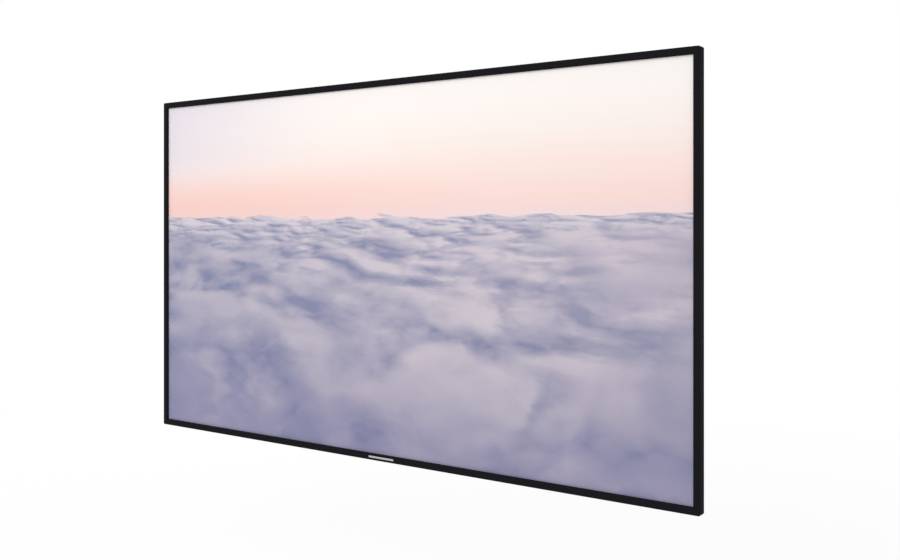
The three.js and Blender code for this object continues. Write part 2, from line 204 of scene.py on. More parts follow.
drawn_lines = drawn_lines_group()
handling = handling_group()


def new_finish(name, **shader_values):
    material = bpy.data.materials.new(name)
    material.use_nodes = True
    tree = material.node_tree
    shader = tree.nodes["Principled BSDF"]
    for label, value in shader_values.items():
        shader.inputs[label.replace("_", " ")].default_value = value
    place = tree.nodes.new("ShaderNodeTexCoord").outputs["Object"]
    return material, tree, shader.inputs, place


def bump(tree, height, depth, strength):
    made = tree.nodes.new("ShaderNodeBump")
    made.inputs["Strength"].default_value = strength
    made.inputs["Distance"].default_value = depth
    feed(tree, made.inputs["Height"], height)
    return made.outputs["Normal"]


def anodised(name, stretch):
    material, tree, shader, place = new_finish(name, Specular_IOR_Level=0.02)
    lines = use_group(tree, drawn_lines, Place=place, Stretch=stretch)
    touched = use_group(tree, handling, Place=place, Size=0.12)
    grain = summed(tree, 0.0, (lines["Broad"], 0.4), (lines["Lines"], 0.6))
    feed(tree, shader["Base Color"], tint(tree, grain, ANODISED_BLACK, ANODISED_LIFT))
    feed(tree, shader["Roughness"], summed(tree, 0.50, (touched["Blotch"], 0.06), (lines["Lines"], 0.10)))
    feed(tree, shader["Normal"], bump(tree, lines["Lines"], depth=0.00002, strength=0.5))
    return material


def add_piece(name, mesh, materials, smooth=False):
    for face in mesh.faces:
        face.smooth = smooth
    data = bpy.data.meshes.new(name)
    mesh.to_mesh(data)
    mesh.free()
    for material in materials:
        data.materials.append(material)
    piece = bpy.data.objects.new(name, data)
    bpy.context.scene.collection.objects.link(piece)
    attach(piece, "root")
    return piece


# A rail as it is in the finished frame: its joints are pulled shut and its sharp edges are eased.
def rail_mesh(name, place, half):
    rail = bmesh.new()
    rail.from_mesh(nodes[name].data)
    bmesh.ops.remove_doubles(rail, verts=rail.verts[:], dist=SAME_POINT)
    bmesh.ops.dissolve_limit(rail, angle_limit=FLAT_ANGLE, verts=rail.verts[:], edges=rail.edges[:])
    mitre_gap = JOINT_GAP * math.sqrt(0.5)
    for vert in rail.verts:
        inward, back, along = place.inverted() @ vert.co
        if abs(half - abs(along) - inward - mitre_gap) < ON_PLANE:
            along = math.copysign(half - inward - JOINT_HAIRLINE, along)
        elif abs(abs(along) - JOINT_GAP / 2) < ON_PLANE:
            along = math.copysign(JOINT_HAIRLINE, along)
        vert.co = place @ Vector((inward, back, along))
    arrises = [edge for edge in rail.edges if edge.calc_face_angle() > SHARP_ANGLE]
    lengthwise = [edge for edge in arrises if edge.calc_length() > half / 2]
    bmesh.ops.bevel(
        rail, geom=lengthwise, offset=RAIL_EDGE, segments=2, profile=0.5, affect="EDGES", material=-1
    )
    for edge in rail.edges:
        edge.smooth = edge.calc_face_angle() < SHARP_ANGLE
    return rail


for side, (place, half) in SIDES.items():
    upright = side in ("left", "right")
    black = anodised(f"black_anodised_{side}", ALONG_Z if upright else ALONG_X)
    for name in [node for node in nodes if node.startswith(f"{side}_rail")]:
        rail = add_piece(f"finished_{name}", rail_mesh(name, place, half), [black], smooth=True)
        flat_faces = rail.modifiers.new("flat_faces", "WEIGHTED_NORMAL")
        flat_faces.keep_sharp = True
        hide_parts(name)

# Joining plates: blanked steel with bright zinc plating, sunk in the rails' channels.
# They join the corners and the middles of the long sides.
PLATES = [f"{corner}_corner_plate" for corner in ("top_left", "top_right", "bottom_right", "bottom_left")]
PLATES += ["top_straight_plate", "bottom_straight_plate"]
ZINC_PALE = (0.68, 0.70, 0.73, 1)
ZINC_DULL = (0.50, 0.52, 0.56, 1)
CRYSTALS_A_METRE = 260.0


def zinc_plating():
    material, tree, shader, place = new_finish("bright_zinc", Metallic=1.0)
    crystals = tree.nodes.new("ShaderNodeTexVoronoi")
    crystals.inputs["Scale"].default_value = CRYSTALS_A_METRE
    feed(tree, crystals.inputs["Vector"], place)
    facets = crystals.outputs["Distance"]
    touched = use_group(tree, handling, Place=place, Size=0.02)
    cloudy = summed(tree, 0.0, (touched["Blotch"], 0.7))
    feed(tree, shader["Base Color"], tint(tree, cloudy, ZINC_PALE, ZINC_DULL))
    feed(tree, shader["Roughness"], summed(tree, 0.26, (facets, 0.12), (touched["Blotch"], 0.1)))
    feed(tree, shader["Normal"], bump(tree, facets, depth=0.00004, strength=0.4))
    return material


def dress(node_names, material):
    for name in node_names:
        for slot in nodes[name].material_slots:
            slot.material = material


dress(PLATES, zinc_plating())

# Grub screws: hex socket steel screws, blacked and oiled, four in each joining plate.
# They press the plates against the rails.
GRUB_SCREWS = [name for name in nodes if "grub_screw" in name]
BLACKED_STEEL = (0.035, 0.035, 0.040, 1)
BLACKED_STEEL_WORN = (0.085, 0.080, 0.078, 1)


def blacked_steel():
    material, tree, shader, place = new_finish("blacked_steel", Metallic=0.9)
    touched = use_group(tree, handling, Place=place, Size=0.004)
    feed(tree, shader["Base Color"], tint(tree, touched["Blotch"], BLACKED_STEEL, BLACKED_STEEL_WORN))
    feed(tree, shader["Roughness"], summed(tree, 0.3, (touched["Blotch"], 0.15)))
    feed(tree, shader["Normal"], bump(tree, touched["Blotch"], depth=0.00002, strength=0.5))
    return material


dress(GRUB_SCREWS, blacked_steel())

# Hem rods: straight drawn steel rods with rounded ends, one in the hem along each edge of the film.
# They spread the pull of the springs along the hem.
ROD_PALE = (0.62, 0.62, 0.63, 1)
ROD_DULL = (0.50, 0.50, 0.52, 1)
ROD_RADIUS = 0.0015
ROD_SIDES = 16
ROD_IN = 0.017
ROD_BACK = 0.011
ROD_END = 0.030
ROD_ROUNDING = 0.0006


def drawn_steel(name, stretch, pale, dull):
    material, tree, shader, place = new_finish(name, Metallic=1.0)
    lines = use_group(tree, drawn_lines, Place=place, Stretch=stretch)
    touched = use_group(tree, handling, Place=place, Size=0.015)
    feed(tree, shader["Base Color"], tint(tree, touched["Blotch"], pale, dull))
    feed(tree, shader["Roughness"], summed(tree, 0.22, (touched["Blotch"], 0.08), (lines["Lines"], 0.14)))
    feed(tree, shader["Normal"], bump(tree, lines["Lines"], depth=0.00002, strength=0.5))
    return material


def rod_mesh(place, half):
    rod = bmesh.new()
    lying = place @ Matrix.Translation((ROD_IN, ROD_BACK, 0))
    bmesh.ops.create_cone(
        rod,
        cap_ends=True,
        segments=ROD_SIDES,
        radius1=ROD_RADIUS,
        radius2=ROD_RADIUS,
        depth=2 * (half - ROD_END),
        matrix=lying,
    )
    rims = [edge for edge in rod.edges if any(len(face.verts) == ROD_SIDES for face in edge.link_faces)]
    bmesh.ops.bevel(
        rod, geom=rims, offset=ROD_ROUNDING, segments=3, profile=0.5, affect="EDGES", material=-1
    )
    return rod


rod_steel = {
    "across": drawn_steel("drawn_rod_across", ALONG_X, ROD_PALE, ROD_DULL),
    "upright": drawn_steel("drawn_rod_upright", ALONG_Z, ROD_PALE, ROD_DULL),
}
for side, (place, half) in SIDES.items():
    lie = "upright" if side in ("left", "right") else "across"
    rod = add_piece(f"{side}_hem_rod", rod_mesh(place, half), [rod_steel[lie]], smooth=True)
    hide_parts(f"{side}_hem_rod_with_springs")

# Springs: extension springs of bright steel wire. The eye goes round the rod through a window in the
# hem, and the hook lies over the lip of the rail's rib. They pull the film flat and tight.
WIRE_PALE = (0.66, 0.66, 0.68, 1)
WIRE_DULL = (0.52, 0.52, 0.55, 1)
WIRE_GRAIN = (500, 500, 500)
SPRING_PITCH = 0.108
SPRING_END = 0.036
WIRE_RADIUS = 0.00045
WIRE_SIDES = 6
COIL_RADIUS = 0.00175
COIL_FROM = 0.0036
COIL_TO = 0.0116
COIL_TURNS = 7.5
STEPS_A_TURN = 10
EYE_RADIUS = 0.00197
EYE_FROM = -50
EYE_TO = -270
EYE_STEPS = 9
HOOK_TOP = Vector((0.0066, 0.0201, 0))
HOOK_BENDS = [(0.0076, 0.02035), (0.0058, 0.02055), (0.0045, 0.02055), (0.0038, 0.0202)]
HOOK_TIP = [(0.0035, 0.0196), (0.0035, 0.01805)]


def spring_places(half):
    per_half = math.floor((half - SPRING_END) / SPRING_PITCH + 0.5)
    return [end * (i + 0.5) * SPRING_PITCH for i in range(per_half) for end in (-1, 1)]


# The middle line of a spring's wire: the eye, the coil and the hook, in its side's frame.
def spring_line():
    rod_at = Vector((ROD_IN, ROD_BACK, 0))
    pull = (HOOK_TOP - rod_at).normalized()
    aside = Vector((-pull.y, pull.x, 0))
    along = Vector((0, 0, 1))
    line = []
    for step in range(EYE_STEPS + 1):
        turn = math.radians(EYE_FROM + (EYE_TO - EYE_FROM) * step / EYE_STEPS)
        line.append(rod_at + EYE_RADIUS * (pull * math.cos(turn) + aside * math.sin(turn)))
    line.append(rod_at + pull * (COIL_FROM - COIL_RADIUS / 2) + aside * COIL_RADIUS)
    steps = round(COIL_TURNS * STEPS_A_TURN)
    for step in range(steps + 1):
        turn = 2 * math.pi * step / STEPS_A_TURN
        reach = COIL_FROM + (COIL_TO - COIL_FROM) * step / steps
        line.append(rod_at + pull * reach + COIL_RADIUS * (aside * math.cos(turn) + along * math.sin(turn)))
    line += [Vector((*bend, 0)) for bend in HOOK_BENDS + HOOK_TIP]
    return line


# Draws a line of edges out by a step, and gives the new line.
def pull_edges(mesh, edges, step):
    pulled = bmesh.ops.extrude_edge_only(mesh, edges=edges)["geom"]
    corners = [part for part in pulled if isinstance(part, bmesh.types.BMVert)]
    bmesh.ops.translate(mesh, verts=corners, vec=step)
    new_edges = [part for part in pulled if isinstance(part, bmesh.types.BMEdge)]
    return [edge for edge in new_edges if set(edge.verts) <= set(corners)]


# A wire bent along a line: a ring of vertices is pulled from point to point and turned as the line turns.
def bent_wire(line):
    wire = bmesh.new()
    heading = (line[1] - line[0]).normalized()
    start = Matrix.Translation(line[0]) @ heading.to_track_quat("Z", "Y").to_matrix().to_4x4()
    bmesh.ops.create_circle(wire, cap_ends=True, segments=WIRE_SIDES, radius=WIRE_RADIUS, matrix=start)
    ring = wire.edges[:]
    for step in range(1, len(line)):
        last = step == len(line) - 1
        ahead = (line[step] - line[step - 1]).normalized()
        onward = heading if last else (line[step + 1] - line[step]).normalized()
        new_heading = ahead if last else (ahead + onward).normalized()
        ring = pull_edges(wire, ring, line[step] - line[step - 1])
        corners = list({vert for edge in ring for vert in edge.verts})
        turn = heading.rotation_difference(new_heading).to_matrix()
        bmesh.ops.rotate(wire, verts=corners, cent=line[step], matrix=turn)
        heading = new_heading
    bmesh.ops.edgeloop_fill(wire, edges=ring)
    bmesh.ops.recalc_face_normals(wire, faces=wire.faces[:])
    return wire


one_spring = bent_wire(spring_line())
spring_data = bpy.data.meshes.new("one_spring")
one_spring.to_mesh(spring_data)
one_spring.free()
spring_wire = drawn_steel("spring_wire", WIRE_GRAIN, WIRE_PALE, WIRE_DULL)
for side, (place, half) in SIDES.items():
    row = bmesh.new()
    for along in spring_places(half):
        first = len(row.verts)
        row.from_mesh(spring_data)
        row.verts.ensure_lookup_table()
        moved = place @ Matrix.Translation((0, 0, along))
        bmesh.ops.transform(row, matrix=moved, verts=row.verts[first:])
    springs = add_piece(f"{side}_springs", row, [spring_wire], smooth=True)
    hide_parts(f"{side}_hem_rod_with_springs")
bpy.data.meshes.remove(spring_data)

# Screen film: matt film, pale in front and black behind, stretched flat inside the rails' lips. Each
# edge is folded round its rod and welded to the back as a hem, with a window for the eye of each spring.
FILM_THICKNESS = 0.0006
FILM_CORNER_CUT = 0.008
HEM_RADIUS = 0.0022
HEM_TURN = -1.5 * math.pi
HEM_STEPS = 12
HEM_TAIL = [(0.0204, 0.0097), (0.0209, 0.0093), (0.0295, 0.00923)]
HEM_SLOT = 2
WINDOW_LENGTH = 0.012
WINDOW_IN = 0.0197
CUT_TOLERANCE = 1e-7
film_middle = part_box("screen_film")[0].y + FILM_THICKNESS / 2
film_half_width = half_width - ROD_IN
film_half_height = half_height - ROD_IN


def cut_along(mesh, place, normal, drop_outside=False):
    everything = mesh.verts[:] + mesh.edges[:] + mesh.faces[:]
    bmesh.ops.bisect_plane(
        mesh,
        geom=everything,
        dist=CUT_TOLERANCE,
        plane_co=place,
        plane_no=normal,
        clear_outer=drop_outside,
    )


def film_mesh():
    film = bmesh.new()
    sheet = Matrix.Diagonal((film_half_width, film_half_height, 1, 1))
    upright = Matrix.Translation((0, film_middle, 0)) @ Matrix.Rotation(math.pi / 2, 4, "X") @ sheet
    bmesh.ops.create_grid(film, x_segments=1, y_segments=1, size=1, matrix=upright)
    for half, across in ((half_width, Vector((1, 0, 0))), (half_height, Vector((0, 0, 1)))):
        lines = [end * (half - back) for back in (ROD_END, WINDOW_IN) for end in (-1, 1)]
        lines += [place + end * WINDOW_LENGTH / 2 for place in spring_places(half) for end in (-1, 1)]
        for line in lines:
            cut_along(film, across * line, across)
    for x in (-1, 1):
        for z in (-1, 1):
            corner = Vector((x * film_half_width, film_middle, z * (film_half_height - FILM_CORNER_CUT)))
            cut_along(film, corner, Vector((x, 0, z)), drop_outside=True)
    for place, half in SIDES.values():
        fold_hem(film, place, half)
    bmesh.ops.recalc_face_normals(film, faces=film.faces[:])
    film.normal_update()
    if max(film.faces, key=lambda face: face.calc_area()).normal.y > 0:
        bmesh.ops.reverse_faces(film, faces=film.faces[:])
    return film


def fold_hem(film, place, half):
    to_side = place.inverted()
    inside = film_middle - face_plane

    def on_fold(vert):
        at = to_side @ vert.co
        level = abs(at.x - ROD_IN) < ON_PLANE and abs(at.y - inside) < ON_PLANE
        return level and abs(at.z) < half - ROD_END + ON_PLANE

    fold = [edge for edge in film.edges if edge.is_boundary and all(on_fold(vert) for vert in edge.verts)]
    centre = place @ Vector((ROD_IN, inside + HEM_RADIUS, 0))
    axis = place.to_3x3() @ Vector((0, 0, 1))
    before = set(film.faces)
    turned = bmesh.ops.spin(
        film, geom=fold, cent=centre, axis=axis, angle=HEM_TURN, steps=HEM_STEPS, use_merge=False
    )["geom_last"]
    ring = [part for part in turned if isinstance(part, bmesh.types.BMEdge)]
    for x, y in HEM_TAIL:
        now = to_side @ ring[0].verts[0].co
        step = place.to_3x3() @ Vector((x - now.x, y - now.y, 0))
        ring = pull_edges(film, ring, step)
    for face in film.faces:
        if face not in before:
            face.material_index = HEM_SLOT
    windows = []
    places = spring_places(half)
    for face in film.faces:
        at = to_side @ face.calc_center_median()
        near = any(abs(at.z - along) < WINDOW_LENGTH / 2 for along in places)
        if near and at.x < WINDOW_IN:
            windows.append(face)
    bmesh.ops.delete(film, geom=windows, context="FACES")


# The picture on the film: a pale evening sky over banks of cloud that grow from the horizon down to the
# lower edge. Each bank is drawn in front of the last, with a lit top, a soft side and a shaded foot.
# A pair holds the farthest bank's value and the nearest one's.
PICTURE_HORIZON = 0.190
PICTURE_SKY = 0.43
SKY_STOPS = [
    (0.00, (0.90, 0.72, 0.72)),
    (0.10, (0.97, 0.72, 0.67)),
    (0.28, (0.98, 0.77, 0.71)),
    (0.60, (0.98, 0.90, 0.86)),
    (1.00, (0.98, 0.94, 0.91)),
]
SKY_STREAKS = (1.3, 1.0, 9.0)
SKY_DUSK = (0.76, 0.70, 0.77, 1)
SKY_ROSE = (0.90, 0.56, 0.50, 1)
CLOUD_TONES = {
    "Lit": ((0.690, 0.630, 0.690), (0.620, 0.560, 0.620)),
    "Side": ((0.510, 0.485, 0.580), (0.400, 0.375, 0.490)),
    "Shade": ((0.330, 0.340, 0.470), (0.215, 0.235, 0.375)),
}
TONE_FADE = 1.5
BANKS = 13
BANK_SIZES = (0.042, 0.95)
BANK_STRETCH = (4.2, 1.25)
BANK_HEIGHT = (0.50, 1.25)
BANK_SOFTNESS = (0.16, 0.30)
BANK_ROUGHNESS = (0.52, 0.475)
BANK_FINENESS = (0.0016, 0.0040)
BANK_TOP = -0.006
BANK_DROP = 0.92
FIRST_SEED = 1.3
SEED_STEP = 3.7
LUMP_ROUGHNESS = 0.58
LUMP_GAIN = 1.2
FOG = (0.380, 0.350, 0.470, 1)
FOG_PALE = (0.640, 0.560, 0.630, 1)
DEEP_SHADE = (0.200, 0.225, 0.370, 1)
NEAR_DUSK = (0.215, 0.215, 0.375, 1)


# Round lumps with sharp creases between them, as on the top of a cloud.
def lumps(tree, vector, detail):
    made = tree.nodes.new("ShaderNodeTexNoise")
    made.noise_type = "RIDGED_MULTIFRACTAL"
    given = {"Vector": vector, "Scale": 1.0, "Detail": detail, "Roughness": LUMP_ROUGHNESS}
    given |= {"Gain": LUMP_GAIN, "Offset": 1.0, "Distortion": 0.15}
    for label, value in given.items():
        feed(tree, made.inputs[label], value)
    return summed(tree, 1.0, (made.outputs["Fac"], -0.5))


def off_middle(tree, value, middle, share):
    return product(tree, calc(tree, "SUBTRACT", value, middle), share)


# One bank of cloud in front of what lies behind it. Its own places are measured in its own size.
def cloud_bank_group():
    inputs = dict.fromkeys(["Behind", "Lit", "Side", "Shade"], "Color")
    numbers = ["Across", "Up", "Base", "Size", "Stretch", "Height"]
    numbers += ["Seed", "Softness", "Detail", "Roughness"]
    inputs |= dict.fromkeys(numbers, "Float")
    tree, given, made = new_group("cloud_bank", inputs, {"Color": "Color"})
    across = calc(tree, "DIVIDE", given["Across"], product(tree, given["Size"], given["Stretch"]))
    up = calc(tree, "DIVIDE", calc(tree, "SUBTRACT", given["Up"], given["Base"]), given["Size"])

    def spot(wide, high, seed, right=0.0, above=0.0):
        joined = tree.nodes.new("ShaderNodeCombineXYZ")
        feed(tree, joined.inputs["X"], summed(tree, right, (across, wide)))
        feed(tree, joined.inputs["Y"], calc(tree, "ADD", given["Seed"], seed))
        feed(tree, joined.inputs["Z"], summed(tree, above, (up, high)))
        return joined.outputs["Vector"]

    detail = given["Detail"]
    swell = noise(tree, spot(wide=0.30, high=0.35, seed=7.3), scale=1.0, detail=2)
    ridge_at = spot(wide=1.0, high=1.1, seed=0.0)
    ridge = noise(tree, ridge_at, scale=1.0, detail=detail, roughness=given["Roughness"], distortion=0.3)
    curls = lumps(tree, spot(wide=1.2, high=1.4, seed=2.9), detail)
    beyond = lumps(tree, spot(wide=1.2, high=1.4, seed=2.9, right=0.08, above=0.16), detail)
    rise = off_middle(tree, swell, middle=0.47, share=2.0)
    top = calc(tree, "ADD", off_middle(tree, ridge, middle=0.5, share=2.4), rise)
    under = calc(tree, "SUBTRACT", product(tree, top, given["Height"]), up)
    relief = calc(tree, "SUBTRACT", beyond, curls)
    shade = summed(tree, 0.34, (curls, -0.65), (relief, 1.5), (under, 0.55))
    colour = tint(tree, spread(tree, shade, low=-0.30, high=0.45), given["Lit"], given["Side"])
    colour = tint(tree, spread(tree, shade, low=0.25, high=1.05), colour, given["Shade"])
    cover = spread(tree, under, low=0.0, high=given["Softness"])
    feed(tree, made["Color"], tint(tree, cover, given["Behind"], colour))
    return tree


def between(pair, share):
    return pair[0] + (pair[1] - pair[0]) * share


def mixed(pair, share):
    return [between(channel, share) for channel in zip(*pair)] + [1]


# Lays a colour over another one, as far as all of its masks let it.
def laid_over(tree, colour, over, *masks):
    return tint(tree, product(tree, *masks), colour, over)


def picture_colour(tree, place):
    split = tree.nodes.new("ShaderNodeSeparateXYZ")
    feed(tree, split.inputs[0], place)
    across = split.outputs["X"]
    up = calc(tree, "SUBTRACT", split.outputs["Z"], PICTURE_HORIZON)
    colour = sky_colour(tree, place, across, up)
    bank = cloud_bank_group()
    smallest, largest = BANK_SIZES
    for i in range(BANKS):
        near = i / (BANKS - 1)
        size = smallest * (largest / smallest) ** near
        tones = {label: mixed(pair, 1 - (1 - near) ** TONE_FADE) for label, pair in CLOUD_TONES.items()}
        colour = use_group(
            tree,
            bank,
            Behind=colour,
            Across=across,
            Up=up,
            Base=BANK_TOP - BANK_DROP * (size - smallest) / (largest - smallest),
            Size=size,
            Stretch=between(BANK_STRETCH, near),
            Height=between(BANK_HEIGHT, near),
            Seed=FIRST_SEED + SEED_STEP * i,
            Softness=between(BANK_SOFTNESS, near),
            Detail=math.log2(size / between(BANK_FINENESS, near)),
            Roughness=between(BANK_ROUGHNESS, near),
            **tones,
        )["Color"]
    return fogged(tree, place, across, up, colour)


# The sky runs from a rosy band at the horizon to a pale top. It dims towards the upper left, and the
# band is rosiest on the left.
def sky_colour(tree, place, across, up):
    sky = tree.nodes.new("ShaderNodeValToRGB")
    sky.color_ramp.interpolation = "B_SPLINE"
    stops = sky.color_ramp.elements
    while len(stops) < len(SKY_STOPS):
        stops.new(0.5)
    for stop, (height, colour) in zip(stops, SKY_STOPS):
        stop.position = height
        stop.color = (*colour, 1)
    streaks = noise(tree, stretched(tree, place, SKY_STREAKS), scale=1.0, detail=4)
    height = calc(tree, "DIVIDE", up, PICTURE_SKY)
    drifted = calc(tree, "ADD", off_middle(tree, streaks, middle=0.5, share=0.12), height)
    feed(tree, sky.inputs["Fac"], drifted)
    leftwards = summed(tree, 0.0, (across, -1.0), (up, 0.6))
    dusk = product(tree, spread(tree, leftwards, low=0.2, high=1.7), spread(tree, up, low=0.02, high=0.26))
    colour = laid_over(tree, sky.outputs["Color"], SKY_DUSK, dusk)
    rosy = product(tree, spread(tree, across, low=0.7, high=-1.1), spread(tree, up, low=0.20, high=0.02))
    return laid_over(tree, colour, SKY_ROSE, rosy, 0.6)


# Broad pale fog and deep hollows that lie over the banks and soften them towards the lower edge.
def fogged(tree, place, across, up, colour):
    depth = spread(tree, up, low=-0.10, high=-0.75)
    below = spread(tree, up, low=-0.02, high=-0.10)
    hollow_at = stretched(tree, place, (1.1, 1.0, 2.1))
    hollow = noise(tree, hollow_at, scale=1.4, detail=5, roughness=0.5, distortion=0.5)
    colour = laid_over(tree, colour, DEEP_SHADE, spread(tree, hollow, low=0.50, high=0.78), below, 0.6)
    drift_at = stretched(tree, place, (1.0, 3.0, 1.6))
    drift = noise(tree, drift_at, scale=1.9, detail=6, roughness=0.55, distortion=0.8)
    colour = laid_over(tree, colour, FOG, spread(tree, drift, low=0.40, high=0.7), depth, 0.45)
    crest_at = stretched(tree, place, (1.2, 5.0, 2.0))
    crest = noise(tree, crest_at, scale=1.3, detail=7, roughness=0.55, distortion=0.9)
    pale = product(tree, spread(tree, crest, low=0.5, high=0.75), summed(tree, 0.25, (depth, 0.2)))
    colour = laid_over(tree, colour, FOG_PALE, pale, below)
    right = product(tree, spread(tree, across, low=0.1, high=1.0), spread(tree, up, low=-0.45, high=-0.10))
    colour = laid_over(tree, colour, FOG_PALE, right, below, 0.45)
    left = spread(tree, across, low=0.1, high=-1.2)
    colour = laid_over(tree, colour, DEEP_SHADE, left, below, 0.35)
    return laid_over(tree, colour, NEAR_DUSK, spread(tree, up, low=-0.35, high=-1.0), 0.75)


def film_front():
    material, tree, shader, place = new_finish("film_front", Specular_IOR_Level=0.15)
    grain = noise(tree, place, scale=2600.0, detail=2, roughness=0.6)
    feed(tree, shader["Base Color"], picture_colour(tree, place))
    feed(tree, shader["Roughness"], summed(tree, 0.82, (grain, 0.1)))
    feed(tree, shader["Normal"], bump(tree, grain, depth=0.00003, strength=0.3))
    return material


# The film's back is black, and its hems show the pale side. The weld that closes a hem leaves rows of
# small diamonds along its inner edge.
FILM_BLACK = (0.012, 0.012, 0.013, 1)
FILM_BLACK_LIFT = (0.020, 0.020, 0.022, 1)
FILM_PALE = (0.60, 0.60, 0.61, 1)
FILM_PALE_LIFT = (0.66, 0.66, 0.67, 1)
WELD_FROM = 0.0216
WELD_TO = 0.0290
WELD_PITCH = 0.0018
WELD_DEPTH = 3.0


def weld_marks(tree, place):
    split = tree.nodes.new("ShaderNodeSeparateXYZ")
    feed(tree, split.inputs[0], place)
    x, z = split.outputs["X"], split.outputs["Z"]
    waves = [
        calc(tree, "SINE", product(tree, calc(tree, slant, x, z), 2 * math.pi / WELD_PITCH))
        for slant in ("ADD", "SUBTRACT")
    ]
    from_side = calc(tree, "SUBTRACT", half_width, calc(tree, "ABSOLUTE", x))
    from_end = calc(tree, "SUBTRACT", half_height, calc(tree, "ABSOLUTE", z))
    inset = calc(tree, "MINIMUM", from_side, from_end)
    fade = WELD_PITCH / 4
    past_fold = spread(tree, inset, low=WELD_FROM, high=WELD_FROM + fade)
    before_edge = spread(tree, inset, low=WELD_TO, high=WELD_TO - fade)
    return product(tree, *waves, past_fold, before_edge)


def matt_film(name, colour, lift, welded=False):
    material, tree, shader, place = new_finish(name, Specular_IOR_Level=0.2)
    grain = noise(tree, place, scale=1500.0, detail=3, roughness=0.6)
    height = summed(tree, grain, (weld_marks(tree, place), WELD_DEPTH)) if welded else grain
    feed(tree, shader["Base Color"], tint(tree, grain, colour, lift))
    feed(tree, shader["Roughness"], summed(tree, 0.6, (grain, 0.15)))
    feed(tree, shader["Normal"], bump(tree, height, depth=0.00005, strength=0.5))
    return material


film_back = matt_film("film_back", FILM_BLACK, FILM_BLACK_LIFT)
film_pale = matt_film("film_pale", FILM_PALE, FILM_PALE_LIFT, welded=True)
film = add_piece("stretched_film", film_mesh(), [film_front(), film_back, film_pale, film_back])
thick = film.modifiers.new("film_thickness", "SOLIDIFY")
thick.thickness = FILM_THICKNESS
thick.offset = 0
thick.material_offset = 1
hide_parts("screen_film")

# Support bar: a flat aluminium tube as it leaves the mill, upright behind the middle of the film.
# It keeps the long rails apart against the pull of the springs.
MILL_PALE = (0.74, 0.75, 0.76, 1)
MILL_DULL = (0.60, 0.61, 0.63, 1)


def mill_finish():
    material, tree, shader, place = new_finish("mill_aluminium", Metallic=1.0)
    lines = use_group(tree, drawn_lines, Place=place, Stretch=ALONG_Z)
    touched = use_group(tree, handling, Place=place, Size=0.06)
    streak = summed(tree, 0.0, (lines["Broad"], 0.6), (touched["Blotch"], 0.4))
    feed(tree, shader["Base Color"], tint(tree, streak, MILL_PALE, MILL_DULL))
    feed(tree, shader["Roughness"], summed(tree, 0.26, (lines["Lines"], 0.16), (touched["Blotch"], 0.08)))
    feed(tree, shader["Normal"], bump(tree, lines["Lines"], depth=0.00003, strength=0.6))
    return material


dress(["support_bar"], mill_finish())

# Bar clips: moulded black nylon, one at each end of the support bar.
# A clip grips the long rail's rear flange and plugs into the bar's end.
NYLON_BLACK = (0.010, 0.010, 0.011, 1)
NYLON_GREY = (0.022, 0.022, 0.024, 1)


def moulded_nylon():
    material, tree, shader, place = new_finish("moulded_nylon", Specular_IOR_Level=0.4)
    grain = noise(tree, place, scale=1800.0, detail=3, roughness=0.55)
    flow = noise(tree, place, scale=40.0, detail=3, distortion=0.6)
    feed(tree, shader["Base Color"], tint(tree, flow, NYLON_BLACK, NYLON_GREY))
    feed(tree, shader["Roughness"], summed(tree, 0.42, (grain, 0.2)))
    feed(tree, shader["Normal"], bump(tree, grain, depth=0.00006, strength=0.6))
    return material


dress(["top_bar_clip", "bottom_bar_clip"], moulded_nylon())

# Wall brackets: steel plate, drilled and folded, with a black powder coat. Each lip stands in front of a
# rail's rear flange: the upper pair carries the frame, and the lower pair keeps it to the wall.
BRACKETS = [name for name in nodes if "wall_bracket" in name]
BRACKET_THICKNESS = 0.002
BRACKET_BEND = 0.0016
BRACKET_BEND_STEPS = 5
BRACKET_WEB_IN = 0.0093
BRACKET_HOLE_RADIUS = 0.00275
BRACKET_HOLE_SPREAD = 0.036
BRACKET_HOLE_IN = 0.0323
BRACKET_CORNER = 0.004
BRACKET_EDGE = 0.0003
BRACKET_SHARP_ANGLE = math.radians(40)
POWDER_BLACK = (0.010, 0.010, 0.011, 1)
POWDER_GREY = (0.017, 0.017, 0.018, 1)


def powder_coat():
    material, tree, shader, place = new_finish("black_powder_coat", Specular_IOR_Level=0.4)
    peel = noise(tree, place, scale=900.0, detail=2)
    touched = use_group(tree, handling, Place=place, Size=0.03)
    feed(tree, shader["Base Color"], tint(tree, touched["Dust"], POWDER_BLACK, POWDER_GREY))
    feed(tree, shader["Roughness"], summed(tree, 0.4, (touched["Blotch"], 0.08)))
    feed(tree, shader["Normal"], bump(tree, peel, depth=0.00008, strength=0.5))
    return material


def fold_edges(mesh, edges, centre, angle):
    turned = bmesh.ops.spin(
        mesh,
        geom=edges,
        cent=centre,
        axis=(0, 0, 1),
        angle=angle,
        steps=BRACKET_BEND_STEPS,
        use_merge=False,
    )["geom_last"]
    return [part for part in turned if isinstance(part, bmesh.types.BMEdge)]


